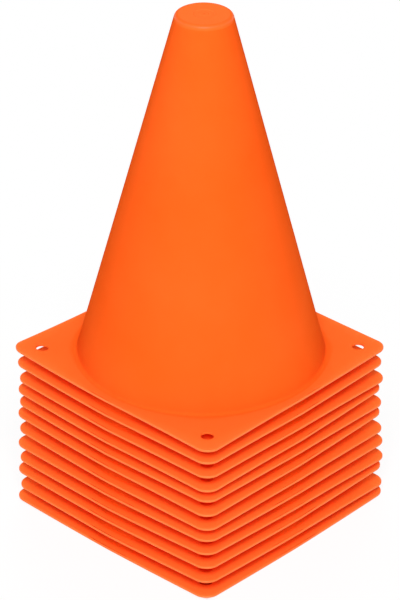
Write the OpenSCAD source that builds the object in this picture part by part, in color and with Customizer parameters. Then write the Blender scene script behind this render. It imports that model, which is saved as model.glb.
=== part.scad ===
// Nested set of twelve soft plastic marker cones.
// Each cone is one moulded shell: a square base sheet, a hollow conical wall and a closed flat top.
// Frame: Z up, origin on the ground under the centre of the lowest base, millimetres.

/* [Cone] */
// Height of one cone, from the ground to its top
cone_h = 190; // [150:1:260]
// Outer diameter of the wall where its slope meets the ground
foot_d = 128.5; // [110:0.5:130]
// Outer diameter of the wall where its slope meets the top
top_d = 28.5; // [24:0.5:40]
// Thickness of the wall at the top, where the nested cones seat
wall_top_t = 1.5; // [1.2:0.1:2]
// Thickness of the wall at the foot
wall_foot_t = 1.2; // [0.8:0.1:1.5]
// Thickness of the closed top
crown_t = 1.8; // [1.2:0.1:2.5]
// Radius of the rounded rim round the top
rim_r = 2.2; // [0.4:0.1:3]
// Radius of the hollow corner where the wall flows into the base
foot_fillet_r = 2; // [1:0.5:3]

/* [Base] */
// Side of the square base
base_w = 140; // [140:1:180]
// Thickness of the base sheet
base_t = 1.2; // [0.8:0.1:2]
// Radius of the base's corners
base_corner_r = 7.5; // [5:0.5:14]
// Diameter of the peg hole in each corner
peg_hole_d = 6.5; // [4:0.5:8]
// Distance from a peg hole's centre to the two nearest sides of the base
peg_hole_inset = 12; // [10:0.5:14]

/* [Gate mark] */
// Diameter of the shallow dish in the middle of the top
dish_d = 10.6; // [6:0.2:14]
// Depth of that dish
dish_depth = 0.3; // [0.2:0.05:0.5]
// Diameter of the gate spot that stands in the dish
gate_d = 4.4; // [3:0.2:5]
// Height of the gate spot above the dish's floor
gate_h = 0.2; // [0.1:0.05:0.3]

/* [Nest] */
// Gap between two walls that are pushed fully home
seat_gap = 0.3; // [0.2:0.05:0.5]
// How much higher the loosest cone sits than one pushed fully home
nest_slack = 1.8; // [0:0.1:2.5]

/* [Hidden] */
$fn = 96;
// Number of steps in the arc of a rounded corner
arc_steps = 8;
// Overrun of a cut past the face that it opens
cut = 1;
cone_orange = [0.996, 0.396, 0.106];

// Slope of the outer wall, and the distance that two seated cones stay apart along the axis
wall_angle = atan((foot_d / 2 - top_d / 2) / cone_h);
seat_pitch = (wall_top_t + seat_gap) / sin(wall_angle);
// Share of the slack that each cone keeps over the one below it, from the second cone up
slack_shares = [0.45, 1, 0.35, 0.75, 0.55, 0.95, 0.3, 0, 0.25, 0.7, 0.8];

function sum_to(list, n) = n == 0 ? 0 : list[n - 1] + sum_to(list, n - 1);
// Height of the underside of cone k, counted from 1 at the ground
function base_z(k) = (k - 1) * seat_pitch + nest_slack * sum_to(slack_shares, k - 1);

// Outer radius of the sloping wall at height z
function outer_r(z) = foot_d / 2 - z * tan(wall_angle);

// Two points of the inner wall, square to the outer wall, give the inner slope
in_foot = [outer_r(0) - wall_foot_t * cos(wall_angle), -wall_foot_t * sin(wall_angle)];
in_top = [outer_r(cone_h) - wall_top_t * cos(wall_angle), cone_h - wall_top_t * sin(wall_angle)];
in_angle = atan((in_foot[0] - in_top[0]) / (in_top[1] - in_foot[1]));
function inner_r(z) = in_foot[0] - (z - in_foot[1]) * tan(in_angle);

function arc(centre, r, from, to) = [
    for (i = [0 : arc_steps])
        let (a = from + (to - from) * i / arc_steps)
        centre + r * [cos(a), sin(a)]
];

// The hollow corner outside the foot, tangent to the base's upper face and to the wall
out_fillet_z = base_t + foot_fillet_r;
out_fillet_c = [outer_r(out_fillet_z) + foot_fillet_r / cos(wall_angle), out_fillet_z];
// The rounded corner on the underside, tangent to the ground and to the inner wall
in_fillet_r = foot_fillet_r + base_t;
in_fillet_c = [inner_r(in_fillet_r) + in_fillet_r / cos(in_angle), in_fillet_r];
// The rim round the top, tangent to the wall and to the top face
rim_c = [outer_r(cone_h - rim_r) - rim_r / cos(wall_angle), cone_h - rim_r];
dish_z = cone_h - dish_depth;

// Half section of the solid that the cone's outer face bounds
outer_section = concat(
    [[0, 0], [out_fillet_c[0], 0]],
    arc(out_fillet_c, foot_fillet_r, 270, 180 + wall_angle),
    arc(rim_c, rim_r, wall_angle, 90),
    [
        [dish_d / 2, cone_h],
        [dish_d / 2 - dish_depth, dish_z],
        [gate_d / 2, dish_z],
        [gate_d / 2, dish_z + gate_h],
        [0, dish_z + gate_h]
    ]
);

// Half section of the hollow inside, open at the ground
inner_section = concat(
    [[0, -cut], [in_fillet_c[0], -cut]],
    arc(in_fillet_c, in_fillet_r, 270, 180 + in_angle),
    [[inner_r(cone_h - crown_t), cone_h - crown_t], [0, cone_h - crown_t]]
);

// Outline of the base: a square with round corners
module base_outline() {
    straight_w = base_w - 2 * base_corner_r;
    square([base_w, straight_w], center = true);
    square([straight_w, base_w], center = true);
    for (x = [-1, 1], y = [-1, 1])
        translate([x * straight_w / 2, y * straight_w / 2])
            circle(r = base_corner_r);
}

// One peg hole in each corner of the base
module peg_holes() {
    place = base_w / 2 - peg_hole_inset;
    for (x = [-1, 1], y = [-1, 1])
        translate([x * place, y * place, -cut])
            cylinder(d = peg_hole_d, h = base_t + 2 * cut);
}

// One cone, standing on the ground
module cone_shell() {
    difference() {
        union() {
            linear_extrude(base_t)
                base_outline();
            rotate_extrude()
                polygon(outer_section);
        }
        rotate_extrude()
            polygon(inner_section);
        peg_holes();
    }
}

// Cone k of the nest, counted from 1 at the ground
module nested_cone(k) {
    color(cone_orange)
        translate([0, 0, base_z(k)])
            cone_shell();
}

nested_cone(1);  // cone_01
nested_cone(2);  // cone_02
nested_cone(3);  // cone_03
nested_cone(4);  // cone_04
nested_cone(5);  // cone_05
nested_cone(6);  // cone_06
nested_cone(7);  // cone_07
nested_cone(8);  // cone_08
nested_cone(9);  // cone_09
nested_cone(10);  // cone_10
nested_cone(11);  // cone_11
nested_cone(12);  // cone_12
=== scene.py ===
"""A nest of twelve soft plastic marker cones on a white studio floor."""

import math

import bmesh
import bpy
from mathutils import Matrix, Vector


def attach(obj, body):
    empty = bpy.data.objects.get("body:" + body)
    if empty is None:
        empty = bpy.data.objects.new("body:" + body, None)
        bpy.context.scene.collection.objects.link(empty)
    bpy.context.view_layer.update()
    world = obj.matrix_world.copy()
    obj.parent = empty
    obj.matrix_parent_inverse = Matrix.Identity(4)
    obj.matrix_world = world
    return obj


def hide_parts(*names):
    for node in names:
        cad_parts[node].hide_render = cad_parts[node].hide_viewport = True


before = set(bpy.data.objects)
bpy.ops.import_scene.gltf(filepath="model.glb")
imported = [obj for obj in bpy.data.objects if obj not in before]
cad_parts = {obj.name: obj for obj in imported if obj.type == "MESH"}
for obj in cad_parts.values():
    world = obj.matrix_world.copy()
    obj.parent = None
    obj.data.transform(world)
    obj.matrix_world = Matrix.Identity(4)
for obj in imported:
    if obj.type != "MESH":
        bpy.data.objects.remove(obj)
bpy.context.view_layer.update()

# Sizes of one cone, in millimetres
MM = 0.001
CONE_H = 190.0
FOOT_R = 64.25
TOP_R = 14.25
WALL_TOP_T = 1.5
WALL_FOOT_T = 1.2
CROWN_T = 1.8
RIM_R = 2.2
FILLET_R = 2.0
BASE_HALF = 70.0
BASE_T = 1.2
CORNER_R = 7.5
HOLE_R = 3.25
HOLE_INSET = 12.0
SHEET_EDGE_R = 0.4
HOLE_EDGE_R = 0.2
DISH_R = 5.3
DISH_DEPTH = 0.3
GATE_R = 2.2
GATE_H = 0.2

# The nest: two seated walls stay SEAT_GAP apart, and each cone keeps its share of the slack over
# the one below it. The lowest cone comes first.
SEAT_GAP = 0.3
NEST_SLACK = 1.8
SLACK_SHARES = [0, 0.45, 1, 0.35, 0.75, 0.55, 0.95, 0.3, 0, 0.25, 0.7, 0.8]

# Soft sheets never lie quite flat. Rise of each base's corners over its flat middle, in
# millimetres: near, right, far and left corner, from the lowest cone up
CORNER_RISE = [
    (1.2, 1.1, 0.3, 1.3),
    (1.7, -0.9, 1.0, 0.5),
    (1.3, 0.7, 0.6, 1.3),
    (2.0, -1.4, 1.2, 0.6),
    (1.8, -0.4, 0.4, 1.2),
    (-0.2, -0.7, 0.9, 2.1),
    (-0.7, 0.6, 1.1, 2.6),
    (-0.1, -1.4, 0.5, 1.9),
    (-1.4, 0.6, 1.3, 2.4),
    (-0.5, -1.3, 0.7, 1.4),
    (-0.6, 0.4, 0.9, 2.6),
    (-1.4, 0.6, 1.2, 3.1),
]
# The rise grows with this power of the nearness to the corner
BEND_POWER = 1.5
# How far each corner shrank in towards both axes as its sheet cooled, in millimetres: the same
# corners and cones
CORNER_PULL = [
    (0.2, 0.1, 0.2, 0.3),
    (1.0, 0.0, 0.5, 1.3),
    (1.1, 0.8, 0.7, 0.6),
    (1.0, 0.0, 0.4, 1.3),
    (0.6, 0.3, 0.6, 0.7),
    (1.2, 0.9, 1.2, 1.4),
    (1.2, 1.9, 1.2, 0.9),
    (1.5, 1.4, 1.5, 1.6),
    (1.6, 2.3, 1.6, 1.2),
    (1.5, 1.1, 1.5, 1.8),
    (1.4, 2.0, 1.4, 1.2),
    (0.6, 1.4, 0.8, 0.5),
]
# The sides of the X and Y axes on which the near, right, far and left corners lie
CORNER_WAYS = [(1, -1), (1, 1), (-1, 1), (-1, -1)]
# Distance of the middle of a round corner from both axes
CORNER_REACH = BASE_HALF - CORNER_R + CORNER_R / math.sqrt(2)
# A pull takes hold along the sheet's reach, which is 0 at the foot of the wall and 1 at the lip.
# Three corners shrank as a whole, and are held in full from this reach on.
FULL_HOLD_REACH = 0.5
# The near corners shrank outside their peg holes only: inwards from the lip their hold falls this
# many times as fast as the reach, and the sheet between foot and hole stretched a little.
NEAR_HOLD_FALL = 4

# Painted light on the flat top and a painted highlight on its rim, where a lip's painted light is
# 1
TOP_PAINTED_LIGHT, RIM_PAINTED_HIGHLIGHT = 0.9, 0.3
# Slope of the glossiest line of the rim, and how far in slope its gloss reaches
GLOSS_ANGLE, GLOSS_REACH = math.radians(37), math.radians(20)

# Steps of the mesh. A quarter of the outline is half a side, the round corner and half a side.
SIDE_STEPS = 10
CORNER_STEPS = 16
QUARTER = 2 * SIDE_STEPS + CORNER_STEPS
# Rows of the sheet from the wall to the holes, along the holes, and from there to the lip
ROWS_IN, ROWS_HOLE, ROWS_OUT = 4, 6, 4
# The room round a hole: its cells to either side of the middle of the corner, its half length over
# the hole's radius, and how far each loop in it lies from the room's border to the hole
HOLE_CELLS = 8
HOLE_ROOM = 1.5
HOLE_BLENDS = (0.5, 1)
# The flat ring round the rounded edge of a hole is wider than that edge's radius by this much
HOLE_MARGIN = 0.1
# Steps of the arcs: a quarter of a sheet's edge, the outer and the inner foot of the wall, the rim
EDGE_STEPS = 4
OUT_FOOT_STEPS, IN_FOOT_STEPS, RIM_STEPS = 7, 8, 10
# Rows of the outer and the inner wall. A narrow row at the ends of a wall keeps its shading even.
OUT_ROWS, IN_ROWS = 16, 12
END_ROW = 1

# Loops near the bends of the top: offsets in radius and height from the bend itself
RIM_END = [(-0.4, 0)]
DISH_LIP = [(0.5, 0), (0.2, 0), (0, -0.05)]
DISH_FOOT = [(-0.25, 0.05), (-0.45, 0)]
GATE_FOOT = [(0.6, 0), (0.3, 0), (0.1, 0.04)]
GATE_LIP = [(-0.05, -0.04), (-0.25, 0), (-0.5, 0)]
# Radii of the loops on its flats: outside the dish, in the dish, on the gate mark
TOP_LOOPS, DISH_LOOPS, GATE_LOOPS = (10.5, 8), (4.1,), (0.8,)
# How far outside the middle of the rim's arc a point still has the look of the flat top
TOP_MARGIN = 0.1
# The inside under the top: where its rounded corner starts on the wall, that corner's loops, and
# the radii of the loops on the flat
UNDER_CORNER = 0.5
UNDER_BEND = [(-0.1, -0.12), (-UNDER_CORNER, 0), (-1, 0)]
UNDER_LOOPS = (7, 2)

WALL_ANGLE = math.atan((FOOT_R - TOP_R) / CONE_H)
SEAT_PITCH = (WALL_TOP_T + SEAT_GAP) / math.sin(WALL_ANGLE)


def outer_r(z):
    """Outer radius of the wall at height z."""
    return FOOT_R - z * math.tan(WALL_ANGLE)


# Two points of the inner wall, square to the outer wall, give the inner slope
IN_FOOT = (FOOT_R - WALL_FOOT_T * math.cos(WALL_ANGLE), -WALL_FOOT_T * math.sin(WALL_ANGLE))
IN_TOP = (
    outer_r(CONE_H) - WALL_TOP_T * math.cos(WALL_ANGLE),
    CONE_H - WALL_TOP_T * math.sin(WALL_ANGLE),
)
IN_ANGLE = math.atan((IN_FOOT[0] - IN_TOP[0]) / (IN_TOP[1] - IN_FOOT[1]))


def inner_r(z):
    """Inner radius of the wall at height z."""
    return IN_FOOT[0] - (z - IN_FOOT[1]) * math.tan(IN_ANGLE)


def base_z(k):
    """Height of the underside of cone k, counted from 0 at the floor."""
    return k * SEAT_PITCH + NEST_SLACK * sum(SLACK_SHARES[:k + 1])


def outline():
    """Points and outward normals all round a base, evenly spread by angle along the sides."""
    straight = BASE_HALF - CORNER_R
    side_angle = math.atan(straight / BASE_HALF)
    quarter = []
    for i in range(SIDE_STEPS):
        a = side_angle * i / SIDE_STEPS
        quarter.append(((BASE_HALF, BASE_HALF * math.tan(a)), (1, 0)))
    for i in range(CORNER_STEPS):
        a = math.pi / 2 * i / CORNER_STEPS
        n = (math.cos(a), math.sin(a))
        quarter.append(((straight + CORNER_R * n[0], straight + CORNER_R * n[1]), n))
    for i in range(SIDE_STEPS):
        a = side_angle * (SIDE_STEPS - i) / SIDE_STEPS
        quarter.append(((BASE_HALF * math.tan(a), BASE_HALF), (0, 1)))
    points = []
    for c, s in [(1, 0), (0, 1), (-1, 0), (0, -1)]:
        for (x, y), (nx, ny) in quarter:
            points.append(((c * x - s * y, s * x + c * y), (c * nx - s * ny, s * nx + c * ny)))
    return points


OUTLINE = outline()
COLUMNS = len(OUTLINE)
ANGLES = [math.atan2(p[1], p[0]) for p, _ in OUTLINE]


def outline_ring(inset, z):
    """The outline of a base at height z, drawn in by an inset."""
    return [(x - inset * nx, y - inset * ny, z) for (x, y), (nx, ny) in OUTLINE]


def round_ring(r, z, angles, centre=(0.0, 0.0)):
    """A circle at height z with a point at each angle."""
    return [(centre[0] + r * math.cos(a), centre[1] + r * math.sin(a), z) for a in angles]


def steps(a, b, n):
    """n values after a, the last one b."""
    return [a + (b - a) * (i + 1) / n for i in range(n)]


def arc(centre, r, a, b, n):
    """n points of an arc in the half section, after its first one, angles in radians."""
    return [(centre[0] + r * math.cos(t), centre[1] + r * math.sin(t)) for t in steps(a, b, n)]


def bend(r, z, offsets):
    """Points of the half section at their offsets from a bend."""
    return [(r + out, z + up) for out, up in offsets]


def flat(z, radii):
    """Points of the half section on a flat at height z."""
    return [(r, z) for r in radii]


def edge_profile(r, t):
    """Sideways reach and height of a rounded sheet edge, from its upper to its lower face."""
    quarter = math.pi / 2
    upper = [(math.cos(a) * r, t - r + math.sin(a) * r) for a in steps(quarter, 0, EDGE_STEPS)]
    down = [0] + steps(0, -quarter, EDGE_STEPS)[:-1]
    return upper + [(math.cos(a) * r, r + math.sin(a) * r) for a in down]


class Shell:
    """The vertices and faces of one closed shell."""

    def __init__(self):
        self.verts = []
        self.faces = []
        # How far out in the sheet each vertex is: 0 at the foot of the wall, 1 at the lip
        self.reach = []
        # How much painted light (a paler colour) and how much gloss the plastic has at each
        # vertex, from 0 to 1
        self.painted_light = []
        self.gloss = []

    def loop(self, points, reach=0, painted_light=None, gloss=0):
        """Adds vertices, with as much painted light as their reach unless told otherwise. Returns
        their numbers.
        """
        first = len(self.verts)
        self.verts.extend(points)
        self.reach.extend([reach] * len(points))
        self.painted_light.extend([reach if painted_light is None else painted_light] * len(points))
        self.gloss.extend([gloss] * len(points))
        return list(range(first, len(self.verts)))

    def band(self, a, b):
        """Joins two loops with faces."""
        n = len(a)
        for i in range(n):
            self.faces.append((a[i], a[(i + 1) % n], b[(i + 1) % n], b[i]))

    def grow(self, last, points, *look):
        """Adds a loop, joins it to the last one and returns it. The look is that of loop()."""
        new = self.loop(points, *look)
        self.band(last, new)
        return new

    def cap(self, ring, point):
        """Closes a loop with triangles to a point."""
        (centre,) = self.loop([point])
        for i in range(len(ring)):
            self.faces.append((ring[i], ring[(i + 1) % len(ring)], centre))

    def round_profile(self, start, profile, tip, look=lambda r, z: (0, 0)):
        """Turns a half section about the axis, from the loop start to the closed middle."""
        last = start
        for r, z in profile:
            last = self.grow(last, round_ring(r, z, ANGLES), 0, *look(r, z))
        self.cap(last, (0.0, 0.0, tip))

    def hole_in(self, border, angle, distance, z, reach):
        """Fills the sheet from a border in to a hole at an angle and a distance from the axis.
        Returns the loop at the hole's edge, the hole's middle and the angles of its points."""
        cx, cy = distance * math.cos(angle), distance * math.sin(angle)
        places = [self.verts[v] for v in border]
        around = [math.atan2(y - cy, x - cx) for x, y, _ in places]
        near = round_ring(HOLE_R + 2 * HOLE_EDGE_R + HOLE_MARGIN, z, around, (cx, cy))
        last = border
        for t in HOLE_BLENDS:
            points = [
                ((1 - t) * x0 + t * x1, (1 - t) * y0 + t * y1, z)
                for (x0, y0, _), (x1, y1, _) in zip(places, near)
            ]
            last = self.grow(last, points, reach)
        last = self.grow(last, round_ring(HOLE_R + HOLE_EDGE_R, z, around, (cx, cy)), reach)
        return last, (cx, cy), around

    def sheet(self, inner_radius, z):
        """One face of the base. Returns its inner loop, its outer loop, its holes and the holes'
        reach."""
        hole_mid = math.hypot(BASE_HALF - HOLE_INSET, BASE_HALF - HOLE_INSET)
        corner_r = math.sqrt(2) * (BASE_HALF - CORNER_R) + CORNER_R - SHEET_EDGE_R
        room = HOLE_R * HOLE_ROOM
        s_in = (hole_mid - room - inner_radius) / (corner_r - inner_radius)
        s_out = (hole_mid + room - inner_radius) / (corner_r - inner_radius)
        # Share of the way from the wall to the lip, for each row of vertices
        shares = [0] + steps(0, s_in, ROWS_IN) + steps(s_in, s_out, ROWS_HOLE)
        shares += steps(s_out, 1, ROWS_OUT) + [1]
        rows = len(shares) - 1
        # The last row but one keeps the flat's shading clear of the rounded lip
        insets = (rows - 1) * [SHEET_EDGE_R] + [2 * SHEET_EDGE_R, SHEET_EDGE_R]
        grid = {}

        def point(i, j):
            (x, y), (nx, ny) = OUTLINE[j]
            a, s, inset = ANGLES[j], shares[i], insets[i]
            return (
                (1 - s) * inner_radius * math.cos(a) + s * (x - inset * nx),
                (1 - s) * inner_radius * math.sin(a) + s * (y - inset * ny),
                z,
            )

        def vertex(i, j):
            j %= COLUMNS
            if (i, j) not in grid:
                (grid[i, j],) = self.loop([point(i, j)], shares[i])
            return grid[i, j]

        i0, i1 = ROWS_IN, ROWS_IN + ROWS_HOLE
        middles = [q * QUARTER + SIDE_STEPS + CORNER_STEPS // 2 for q in range(4)]
        for i in range(rows):
            for j in range(COLUMNS):
                hole_column = any(m - HOLE_CELLS <= j < m + HOLE_CELLS for m in middles)
                if not (i0 <= i < i1 and hole_column):
                    corners = [(i, j), (i + 1, j), (i + 1, j + 1), (i, j + 1)]
                    self.faces.append(tuple(vertex(*corner) for corner in corners))
        holes = []
        hole_reach = (s_in + s_out) / 2
        for m in middles:
            j0, j1 = m - HOLE_CELLS, m + HOLE_CELLS
            border = [(i0, j) for j in range(j0, j1)] + [(i, j1) for i in range(i0, i1)]
            border += [(i1, j) for j in range(j1, j0, -1)] + [(i, j0) for i in range(i1, i0, -1)]
            border = [vertex(i, j) for i, j in border]
            holes.append(self.hole_in(border, ANGLES[m], hole_mid, z, hole_reach))
        inner = [vertex(0, j) for j in range(COLUMNS)]
        outer = [vertex(rows, j) for j in range(COLUMNS)]
        return inner, outer, holes, hole_reach


def cone_shell():
    """The shell of one cone that stands on the floor with a flat, square base, in millimetres."""
    shell = Shell()
    fillet_z = BASE_T + FILLET_R
    out_c = (outer_r(fillet_z) + FILLET_R / math.cos(WALL_ANGLE), fillet_z)
    in_r = FILLET_R + BASE_T
    in_c = (inner_r(in_r) + in_r / math.cos(IN_ANGLE), in_r)
    rim_z = CONE_H - RIM_R
    rim_c = (outer_r(rim_z) - RIM_R / math.cos(WALL_ANGLE), rim_z)

    # The two faces of the base, its lip and the edges of its holes
    top_inner, top_outer, top_holes, hole_reach = shell.sheet(out_c[0], BASE_T)
    low_inner, low_outer, low_holes, _ = shell.sheet(in_c[0], 0.0)
    last = top_outer
    # The lip gets full painted light and full gloss: a painted highlight along its edge
    for reach, z in edge_profile(SHEET_EDGE_R, BASE_T):
        last = shell.grow(last, outline_ring(SHEET_EDGE_R - reach, z), 1, 1, 1)
    shell.band(last, low_outer)
    for (last, centre, around), (lower, _, _) in zip(top_holes, low_holes):
        for reach, z in edge_profile(HOLE_EDGE_R, BASE_T):
            ring = round_ring(HOLE_R + HOLE_EDGE_R - reach, z, around, centre)
            last = shell.grow(last, ring, hole_reach)
        shell.band(last, lower)

    # The outer face, from the foot of the wall over the rim to the gate mark
    quarter = math.pi / 2
    wall = arc(out_c, FILLET_R, 3 * quarter, math.pi + WALL_ANGLE, OUT_FOOT_STEPS)
    first_z = wall[-1][1] + END_ROW
    last_z = rim_c[1] + RIM_R * math.sin(WALL_ANGLE)
    for z in [first_z] + steps(first_z, last_z - END_ROW, OUT_ROWS) + [last_z]:
        wall.append((outer_r(z), z))
    wall += arc(rim_c, RIM_R, WALL_ANGLE, quarter, RIM_STEPS)
    dish_z = CONE_H - DISH_DEPTH
    gate_z = dish_z + GATE_H
    wall += bend(rim_c[0], CONE_H, RIM_END) + flat(CONE_H, TOP_LOOPS)
    wall += bend(DISH_R, CONE_H, DISH_LIP) + bend(DISH_R, dish_z, DISH_FOOT)
    wall += flat(dish_z, DISH_LOOPS) + bend(GATE_R, dish_z, GATE_FOOT)
    wall += bend(GATE_R, gate_z, GATE_LIP) + flat(gate_z, GATE_LOOPS)

    def look(r, z):
        """How much painted light and how glossy the outer face is: satin walls, a painted
        highlight on the glossy rim, painted light on the top.
        """
        if z < rim_c[1]:
            return 0, 0
        if r <= rim_c[0] + TOP_MARGIN:
            return TOP_PAINTED_LIGHT, 0
        angle = math.atan2(z - rim_c[1], r - rim_c[0])
        return RIM_PAINTED_HIGHLIGHT, max(0, 1 - abs(angle - GLOSS_ANGLE) / GLOSS_REACH)

    shell.round_profile(top_inner, wall, gate_z, look)

    # The inside, from the foot of the wall to the underside of the top
    under_z = CONE_H - CROWN_T
    hollow = arc(in_c, in_r, 3 * quarter, math.pi + IN_ANGLE, IN_FOOT_STEPS)
    for z in steps(hollow[-1][1], under_z - END_ROW, IN_ROWS) + [under_z - UNDER_CORNER]:
        hollow.append((inner_r(z), z))
    hollow += bend(inner_r(under_z), under_z, UNDER_BEND) + flat(under_z, UNDER_LOOPS)
    shell.round_profile(low_inner, hollow, under_z)
    return shell


def nearness(x, y):
    """How near a point is to each corner of the base: 0 at both axes, 1 at the round corner."""
    return [
        max(x * way_x, 0) * max(y * way_y, 0) / CORNER_REACH ** 2
        for way_x, way_y in CORNER_WAYS
    ]


def pulled(x, y, reach, pulls):
    """The place of a point of the sheet whose corners shrank in by their own pulls."""
    near_hold = reach * (NEAR_HOLD_FALL * reach - (NEAR_HOLD_FALL - 1))
    holds = [near_hold] + 3 * [min(1, reach / FULL_HOLD_REACH)]
    total = sum(
        pull * min(1, share) * hold
        for pull, share, hold in zip(pulls, nearness(x, y), holds)
    )
    return [v * (1 - total / BASE_HALF) for v in (x, y)]


def rise(x, y, heights):
    """How far the sheet is bent up at a point, for the rises of its four corners."""
    return sum(height * share ** BEND_POWER for height, share in zip(heights, nearness(x, y)))


# Nodes of the materials and the world
def empty_tree(owner):
    """The node tree of a material or a world, with nothing in it."""
    owner.use_nodes = True
    owner.node_tree.nodes.clear()
    return owner.node_tree


def fill(tree, node, inputs):
    """Feeds a node's inputs: another node's output is linked, a plain value is written in."""
    for key, value in inputs.items():
        if isinstance(value, bpy.types.NodeSocket):
            tree.links.new(value, node.inputs[key])
        else:
            node.inputs[key].default_value = value
    return node


def add(tree, kind, inputs):
    """A new node with its inputs fed."""
    return fill(tree, tree.nodes.new(kind), inputs)


def math_node(tree, operation, *values):
    node = tree.nodes.new("ShaderNodeMath")
    node.operation = operation
    return fill(tree, node, dict(enumerate(values))).outputs[0]


def colour_mix(tree, factor, a, b):
    node = tree.nodes.new("ShaderNodeMix")
    node.data_type = "RGBA"
    return fill(tree, node, {"Factor": factor, "A": a, "B": b}).outputs["Result"]


def map_range(tree, value, from_min, from_max, to_min, to_max):
    return add(tree, "ShaderNodeMapRange", {
        "Value": value,
        "From Min": from_min,
        "From Max": from_max,
        "To Min": to_min,
        "To Max": to_max,
    }).outputs["Result"]


def noise(tree, place, scale, detail, roughness=0.5):
    return add(tree, "ShaderNodeTexNoise", {
        "Vector": place,
        "Scale": scale,
        "Detail": detail,
        "Roughness": roughness,
    }).outputs["Fac"]


def seen_rays(tree):
    """1 for camera, reflected and transmitted rays, 0 for light that scatters."""
    path = tree.nodes.new("ShaderNodeLightPath")
    seen = path.outputs["Is Camera Ray"]
    for name in ("Is Glossy Ray", "Is Transmission Ray"):
        seen = math_node(tree, "MAXIMUM", seen, path.outputs[name])
    return seen


# The plastic. Scale and detail of its noises: clouds in the colour, smears in the gloss, moulded
# grain, and waves in the wall
CLOUDS, SMEARS, GRAIN, WAVES = (22, 3), (60, 4), (2600, 2), (45, 2)
SMEAR_ROUGHNESS = 0.6
# Most of a noise lies between these two values
NOISE_LOW, NOISE_HIGH = 0.3, 0.7
CLOUD_COLOURS = [(0.93, 0.101, 0.009, 1), (0.95, 0.113, 0.013, 1)]
SMEAR_RANGE = (0.38, 0.46)
GRAIN_BUMP = {"Strength": 0.35, "Distance": 0.00003}
WAVE_BUMP = {"Strength": 0.5, "Distance": 0.00025}
# Painted light: a paler colour that grows from the foot of each sheet to its lip, paints a
# highlight on lips and rim and lightens the top. Lips and rims are glossier too. The pale colour,
# how much of it shows for each level of painted light in the mesh, and the highest gloss
PAINTED_LIGHT_COLOUR = (0.95, 0.175, 0.034, 1)
PAINTED_LIGHT_SHARES = [(0.02, 0), (0.1, 0.35), (0.6, 0.45), (0.93, 0.75), (1.0, 1.0)]
GLOSS_MAX = 0.22
# Low-density polyethylene: how light breaks and scatters in it, red the deepest
PLASTIC_BODY = {
    "IOR": 1.5,
    "Subsurface Weight": 0.08,
    "Subsurface Radius": (1.0, 0.25, 0.08),
    "Subsurface Scale": 0.003,
}


def attribute(tree, name):
    node = tree.nodes.new("ShaderNodeAttribute")
    node.attribute_name = name
    return node.outputs["Fac"]


def painted_light_share(tree):
    """How much of the pale colour of painted light shows."""
    node = add(tree, "ShaderNodeValToRGB", {"Fac": attribute(tree, "painted_light")})
    stops = node.color_ramp.elements
    for i, (painted_level, share) in enumerate(PAINTED_LIGHT_SHARES):
        stop = stops[i] if i < len(stops) else stops.new(painted_level)
        stop.position = painted_level
        stop.color = (share, share, share, 1)
    return node.outputs["Color"]


def cone_plastic():
    """Satin polyethylene: cloudy colour, painted light in a paler colour, fine moulded grain and
    soft waves in the wall.
    """
    material = bpy.data.materials.new("cone_plastic")
    tree = empty_tree(material)
    place = tree.nodes.new("ShaderNodeTexCoord").outputs["Object"]

    def mapped(value, low, high):
        return map_range(tree, value, NOISE_LOW, NOISE_HIGH, low, high)

    clouds = mapped(noise(tree, place, *CLOUDS), 0, 1)
    colour = colour_mix(tree, clouds, *CLOUD_COLOURS)
    smears = noise(tree, place, *SMEARS, SMEAR_ROUGHNESS)
    grain = add(tree, "ShaderNodeBump", {"Height": noise(tree, place, *GRAIN), **GRAIN_BUMP})
    waves = add(tree, "ShaderNodeBump", {
        "Height": noise(tree, place, *WAVES),
        "Normal": grain.outputs["Normal"],
        **WAVE_BUMP,
    })
    shader = add(tree, "ShaderNodeBsdfPrincipled", {
        "Base Color": colour_mix(tree, painted_light_share(tree), colour, PAINTED_LIGHT_COLOUR),
        "Roughness": mapped(smears, *SMEAR_RANGE),
        "Specular IOR Level": map_range(tree, attribute(tree, "gloss"), 0, 1, 0, GLOSS_MAX),
        "Normal": waves.outputs["Normal"],
        **PLASTIC_BODY,
    })
    add(tree, "ShaderNodeOutputMaterial", {"Surface": shader.outputs["BSDF"]})
    return material


# The floor. Share of its look that is a plain glow, near the nest and away from it, and the
# distances from the axis at which those shares hold
GLOW_NEAR, GLOW_FAR = 0.88, 1.0
GLOW_NEAR_R, GLOW_FAR_R = 0.1, 0.28
# Half width of the floor under the nest that doesn't glow and carries painted shade, and where it
# glows in full
DULL_HALF, BRIGHT_HALF = 0.063, 0.068
# Colour of the floor under the nest, painted shade in dark orange that stands in for the shaded
# floor and the plastic's orange bounce light, and of the white paper round it
PAINTED_SHADE_UNDER_NEST = (0.5, 0.05, 0.004, 1)
PAPER_COLOUR = (0.92, 0.92, 0.92, 1)
FLOOR_SIZE = 80


def clear_of_nest(tree, place):
    """0 on the floor under the lowest base, 1 round it."""
    split = add(tree, "ShaderNodeSeparateXYZ", {"Vector": place})
    x, y = (math_node(tree, "ABSOLUTE", split.outputs[name]) for name in ("X", "Y"))
    return map_range(tree, math_node(tree, "MAXIMUM", x, y), DULL_HALF, BRIGHT_HALF, 0, 1)


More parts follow.
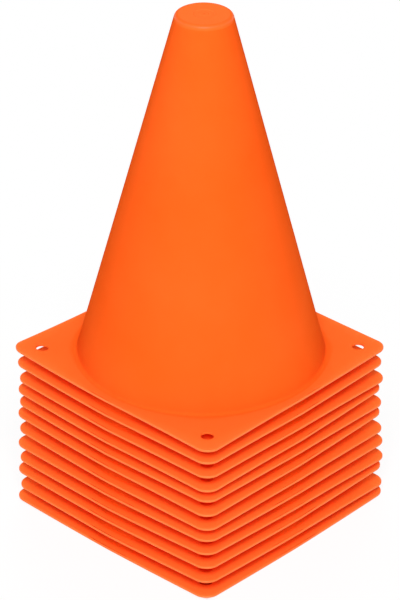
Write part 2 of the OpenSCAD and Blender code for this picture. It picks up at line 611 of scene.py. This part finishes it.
def floor_material():
    """White paper that keeps a faint shadow, with painted shade in dark orange under the nest."""
    material = bpy.data.materials.new("studio_floor")
    tree = empty_tree(material)
    place = tree.nodes.new("ShaderNodeNewGeometry").outputs["Position"]
    clear = clear_of_nest(tree, place)
    away = tree.nodes.new("ShaderNodeVectorMath")
    away.operation = "LENGTH"
    fill(tree, away, {0: place})
    share = map_range(tree, away.outputs["Value"], GLOW_NEAR_R, GLOW_FAR_R, GLOW_NEAR, GLOW_FAR)
    share = math_node(tree, "MULTIPLY", seen_rays(tree), share)
    share = math_node(tree, "MULTIPLY", share, clear)
    # Painted shade: the floor under the nest is coloured dark orange, the paper round it white
    paper_and_painted_shade = colour_mix(tree, clear, PAINTED_SHADE_UNDER_NEST, PAPER_COLOUR)
    paper = add(tree, "ShaderNodeBsdfDiffuse", {"Color": paper_and_painted_shade})
    glow = add(tree, "ShaderNodeEmission", {"Strength": 1})
    mix = add(tree, "ShaderNodeMixShader", {
        "Fac": share,
        1: paper.outputs["BSDF"],
        2: glow.outputs["Emission"],
    })
    add(tree, "ShaderNodeOutputMaterial", {"Surface": mix.outputs["Shader"]})
    return material


# The twelve cones
plastic = cone_plastic()
shell = cone_shell()
for k, (heights, pulls) in enumerate(zip(CORNER_RISE, CORNER_PULL)):
    node = f"cone_{k + 1:02d}"
    lift = base_z(k)
    mesh = bpy.data.meshes.new(node + "_shell")
    placed = []
    for (x, y, z), reach in zip(shell.verts, shell.reach):
        x, y = pulled(x, y, reach, pulls)
        placed.append(Vector((x, y, z + rise(x, y, heights) + lift)) * MM)
    mesh.from_pydata(placed, [], shell.faces)
    work = bmesh.new()
    work.from_mesh(mesh)
    bmesh.ops.recalc_face_normals(work, faces=work.faces)
    work.to_mesh(mesh)
    work.free()
    mesh.polygons.foreach_set("use_smooth", [True] * len(mesh.polygons))
    mesh.materials.append(plastic)
    # Painted light, a paler colour, and gloss for each vertex
    for name, values in (("painted_light", shell.painted_light), ("gloss", shell.gloss)):
        mesh.attributes.new(name, "FLOAT", "POINT").data.foreach_set("value", values)
    piece = bpy.data.objects.new(node + "_shell", mesh)
    bpy.context.scene.collection.objects.link(piece)
    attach(piece, node)
    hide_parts(node)

# Studio
scene = bpy.context.scene
scene.view_settings.view_transform = "Standard"
# Enough bounces for the light between two sheets
scene.cycles.diffuse_bounces = 10
scene.cycles.max_bounces = 16

bpy.ops.mesh.primitive_plane_add(size=FLOOR_SIZE, location=(0, 0, 0))
floor = bpy.context.object
floor.name = "studio_floor"
floor.data.materials.append(floor_material())

# The world is white to the camera and in reflections, and lights the nest at a lower level
WORLD_LEVEL = 0.336
scene.world = bpy.data.worlds.new("studio")
world_tree = empty_tree(scene.world)
world_level = map_range(world_tree, seen_rays(world_tree), 0, 1, WORLD_LEVEL, 1)
sky = add(world_tree, "ShaderNodeBackground", {"Color": (1, 1, 1, 1), "Strength": world_level})
add(world_tree, "ShaderNodeOutputWorld", {"Surface": sky.outputs["Background"]})

# The point that the lamps and the camera face
TARGET = Vector((-0.6, -0.56, 118.9)) * MM


def direction(azimuth, elevation):
    """Unit vector from the nest towards an azimuth and an elevation in radians."""
    return Vector((
        math.sin(azimuth) * math.cos(elevation),
        -math.cos(azimuth) * math.cos(elevation),
        math.sin(elevation),
    ))


def softbox(name, azimuth, elevation, distance, size, level):
    """A square lamp that lights a face square to it to the given level of a written colour."""
    back = direction(math.radians(azimuth), math.radians(elevation))
    lamp = bpy.data.lights.new(name, "AREA")
    lamp.shape = "SQUARE"
    lamp.size = size
    lamp.energy = level * (math.pi * distance) ** 2
    holder = bpy.data.objects.new(name, lamp)
    holder.location = TARGET + back * distance
    holder.rotation_euler = back.to_track_quat("Z", "Y").to_euler()
    holder.visible_camera = False
    scene.collection.objects.link(holder)


softbox("softbox", azimuth=42, elevation=44, distance=2.4, size=0.9, level=1.02)
softbox("fill_from_behind", azimuth=222, elevation=25, distance=2.4, size=1.4, level=0.35)

# Camera
CAMERA_AZIMUTH = 42.7
CAMERA_ELEVATION = 29.81
CAMERA_ROLL = 0.47
CAMERA_DISTANCE = 1.595
CAMERA_CLIP = 0.01
SENSOR_HEIGHT = 36
# Focal length over the sensor's height
FOCAL_SHARE = 5.2164

turn = math.radians(CAMERA_AZIMUTH)
back = direction(turn, math.radians(CAMERA_ELEVATION))
level_right = Vector((math.cos(turn), math.sin(turn), 0))
level_up = back.cross(level_right)
roll = math.radians(CAMERA_ROLL)
right = level_right * math.cos(roll) + level_up * math.sin(roll)
up = back.cross(right)
lens = bpy.data.cameras.new("camera")
lens.sensor_fit = "VERTICAL"
lens.sensor_height = SENSOR_HEIGHT
lens.lens = SENSOR_HEIGHT * FOCAL_SHARE
lens.clip_start = CAMERA_CLIP
camera = bpy.data.objects.new("camera", lens)
camera.matrix_world = Matrix((
    (right.x, up.x, back.x, 0),
    (right.y, up.y, back.y, 0),
    (right.z, up.z, back.z, 0),
    (0, 0, 0, 1),
))
camera.location = TARGET + back * CAMERA_DISTANCE
scene.collection.objects.link(camera)
scene.camera = camera
